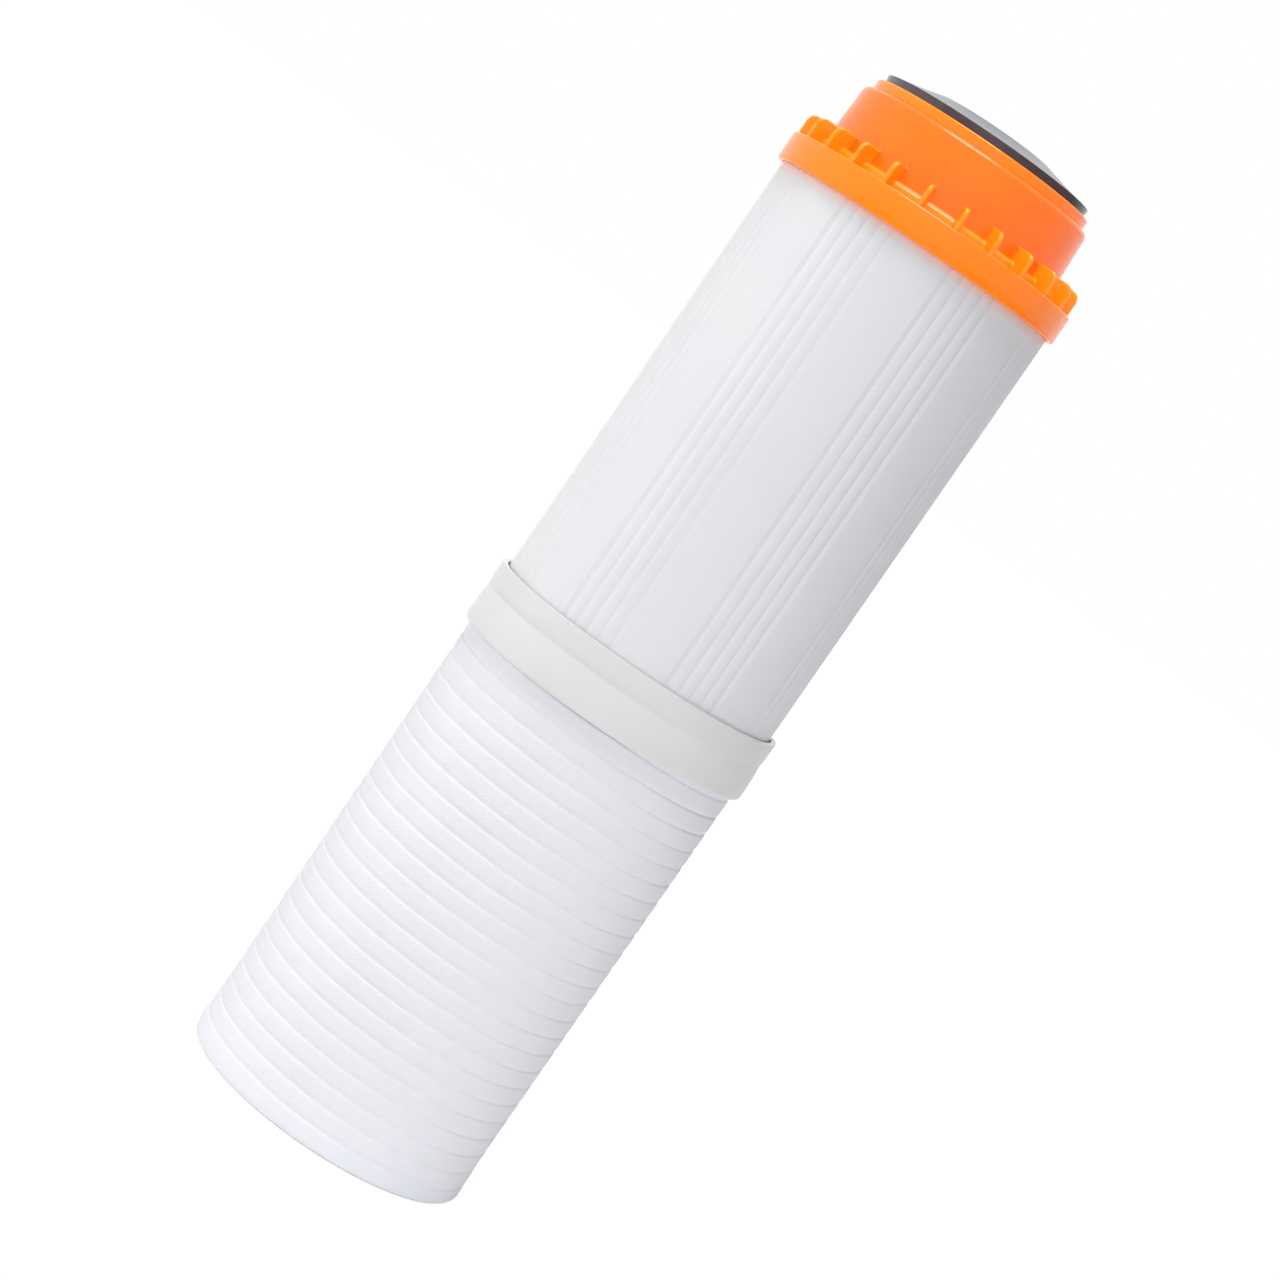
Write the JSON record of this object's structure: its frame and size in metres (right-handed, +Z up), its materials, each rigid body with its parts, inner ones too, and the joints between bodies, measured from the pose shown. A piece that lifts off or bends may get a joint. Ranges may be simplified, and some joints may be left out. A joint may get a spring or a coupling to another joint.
{
  "type": "water filter cartridge",
  "caption": "Upright two-stage water filter cartridge: spiral-grooved sediment element below, fluted carbon tube above, ribbed cap with an outlet gasket.",
  "frame": {"origin": "centre of the flat lower end face of the sediment element, on the surface it stands on", "axes": "+Z up along the cartridge's axis, from the sediment element to the outlet gasket; -Y is the side that the picture faces"},
  "size_m": [0.0694, 0.0694, 0.25],
  "materials": {
    "melt_blown_polypropylene": "soft matt melt-blown fibre, bright white",
    "white_ring_plastic": "smooth satin moulded plastic, warm white",
    "white_tube_plastic": "extruded plastic with a soft gloss, cool white",
    "orange_plastic": "slightly translucent moulded polypropylene, bright orange",
    "gasket_rubber": "matt dark grey rubber",
    "felt": "white needled felt",
    "activated_carbon": "black granules"
  },
  "bodies": {
    "root": {"sediment_element": "melt_blown_polypropylene", "joint_ring": "white_ring_plastic", "inlet_pad": "felt", "carbon_tube": "white_tube_plastic", "carbon_bed": "activated_carbon", "outlet_pad": "felt", "top_cap": "orange_plastic", "top_gasket": "gasket_rubber"}
  },
  "joints": []
}
